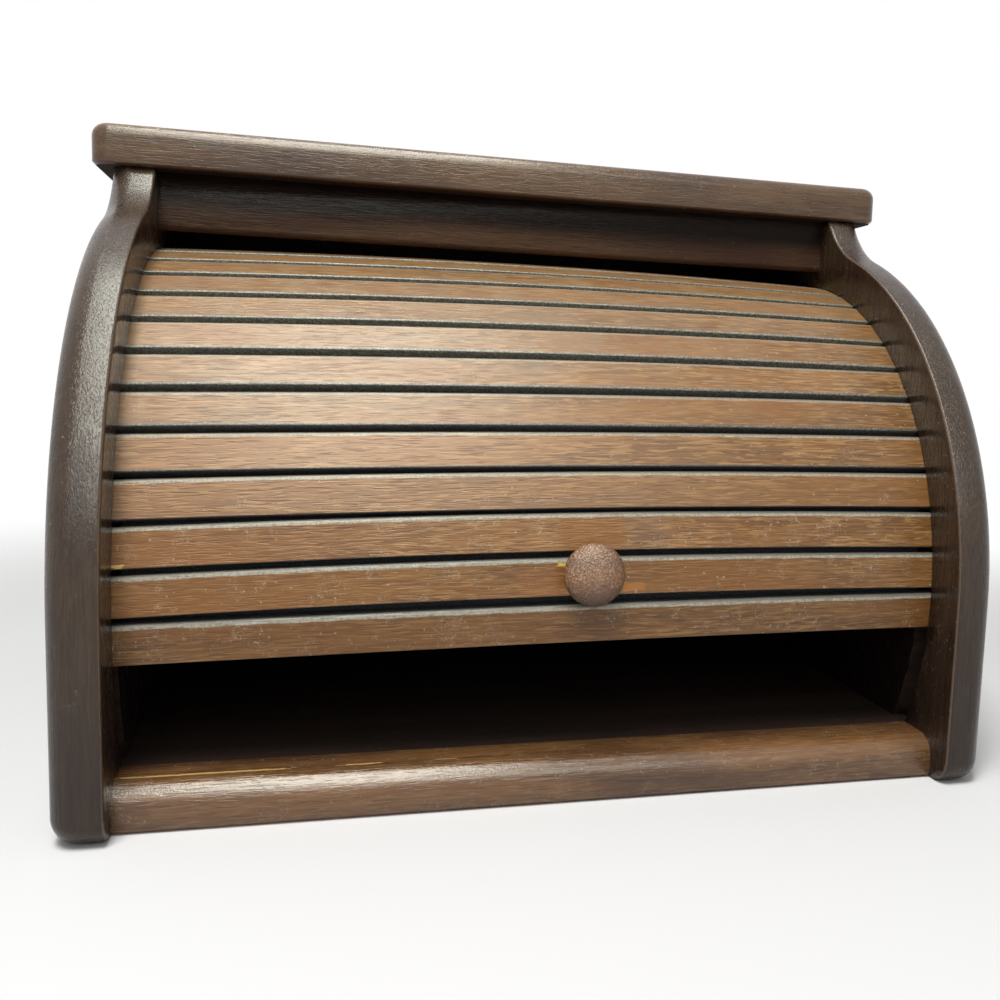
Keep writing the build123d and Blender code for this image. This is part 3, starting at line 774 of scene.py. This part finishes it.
# camera at the photograph's place
camera = {
    "place": (-0.10451, -0.56951, 0.18704),
    "right": (0.96975, -0.24189, 0.0327), "up": (-0.00486, 0.11484, 0.99337),
    "lens": 36.073, "sensor": 36, "shift": (-0.0724, -0.008),
}
camData = bpy.data.cameras.new("camera")
camData.sensor_width = camera["sensor"]
camData.lens = camera["lens"]
camData.shift_x, camData.shift_y = camera["shift"]
camObj = bpy.data.objects.new("camera", camData)
scene.collection.objects.link(camObj)
right = Vector(camera["right"]).normalized()
up = Vector(camera["up"]).normalized()
back = right.cross(up).normalized()
turn = Matrix((right, up, back)).transposed().to_4x4()
camObj.matrix_world = Matrix.Translation(camera["place"]) @ turn
scene.camera = camObj

# studio: a pale floor that fades into a white room, a lamp overhead for the plain colours,
# two soft boxes that only gloss shows, and a weak lamp in front
studio = {
    "fill": 0.30, "floorRadius": 2.5, "floorFade": (0.35, 0.9),
    "floorSeen": (0.84, 0.84, 0.83, 1), "floorBounce": (0.5, 0.5, 0.5, 1),
    "lampColours": {"matt": (1, 1, 1), "gloss": (0.97, 1.0, 0.90), "both": (1, 1, 1)},
}
lamps = {
    "overhead": {"at": (-0.34, -0.72, 1.60), "towards": (-0.26, -0.50, 0.2), "wide": 0.45, "deep": 0.7,
                 "power": 25, "lights": "matt"},
    "softBox": {"at": (-0.10, -0.85, 1.60), "towards": (-0.10, -0.85, 0.2), "wide": 0.70, "deep": 2.1,
                "power": 60, "lights": "gloss"},
    "lowBox": {"at": (0.30, -2.1, 1.35), "towards": (0, -0.15, 0.15), "wide": 1.3, "deep": 0.8,
               "power": 13, "lights": "gloss"},
    "front": {"at": (-0.35, -1.45, 0.95), "towards": (0, 0, 0.12), "wide": 0.8, "deep": 0.8,
              "power": 3.2, "lights": "both"},
}


def seenDirectly(tree):
    # 1 for rays from the camera, from gloss and through glass, 0 for light that bounces about
    rays = tree.nodes.new("ShaderNodeLightPath")
    seen = calc(tree, "MAXIMUM", rays.outputs["Is Camera Ray"], rays.outputs["Is Glossy Ray"])
    return calc(tree, "MAXIMUM", seen, rays.outputs["Is Transmission Ray"])


def blendInto(tree, leave, share, first, second):
    blend = tree.nodes.new("ShaderNodeMixShader")
    tree.links.new(share, blend.inputs["Fac"])
    tree.links.new(first.outputs[0], blend.inputs[1])
    tree.links.new(second.outputs[0], blend.inputs[2])
    tree.links.new(blend.outputs[0], leave.inputs["Surface"])


world = bpy.data.worlds.new("room")
scene.world = world
world.use_nodes = True
tree = world.node_tree
tree.nodes.clear()
leave = tree.nodes.new("ShaderNodeOutputWorld")
backgrounds = []
for strength in (studio["fill"], 1.0):
    background = tree.nodes.new("ShaderNodeBackground")
    background.inputs["Color"].default_value = (1, 1, 1, 1)
    background.inputs["Strength"].default_value = strength
    backgrounds.append(background)
blendInto(tree, leave, seenDirectly(tree), *backgrounds)

floorFinish = bpy.data.materials.new("paleFloor")
floorFinish.use_nodes = True
tree = floorFinish.node_tree
tree.nodes.clear()
leave = tree.nodes.new("ShaderNodeOutputMaterial")
paint = tree.nodes.new("ShaderNodeBsdfDiffuse")
paintColour = tint(tree, seenDirectly(tree), studio["floorBounce"], studio["floorSeen"])
tree.links.new(paintColour, paint.inputs["Color"])
clear = tree.nodes.new("ShaderNodeBsdfTransparent")
distance = tree.nodes.new("ShaderNodeVectorMath")
distance.operation = "LENGTH"
tree.links.new(objectPlace(tree), distance.inputs[0])
blendInto(tree, leave, fadeBetween(tree, distance.outputs["Value"], *studio["floorFade"]), paint, clear)
bm = bmesh.new()
bmesh.ops.create_circle(bm, cap_ends=True, radius=studio["floorRadius"], segments=64)
mesh = bpy.data.meshes.new("floor")
bm.to_mesh(mesh)
bm.free()
mesh.materials.append(floorFinish)
floor = bpy.data.objects.new("floor", mesh)
scene.collection.objects.link(floor)

for name, lamp in lamps.items():
    lampData = bpy.data.lights.new(name, "AREA")
    lampData.shape = "RECTANGLE"
    lampData.size, lampData.size_y = lamp["wide"], lamp["deep"]
    lampData.energy = lamp["power"]
    lampData.color = studio["lampColours"][lamp["lights"]]
    lampObj = bpy.data.objects.new(name, lampData)
    lampObj.location = lamp["at"]
    facing = Vector(lamp["towards"]) - Vector(lamp["at"])
    lampObj.rotation_euler = facing.to_track_quat("-Z", "Y").to_euler()
    lampObj.visible_diffuse = lamp["lights"] != "gloss"
    lampObj.visible_glossy = lamp["lights"] != "matt"
    scene.collection.objects.link(lampObj)
print("camera, lamps and floor ready")

scene.view_settings.view_transform = "Standard"
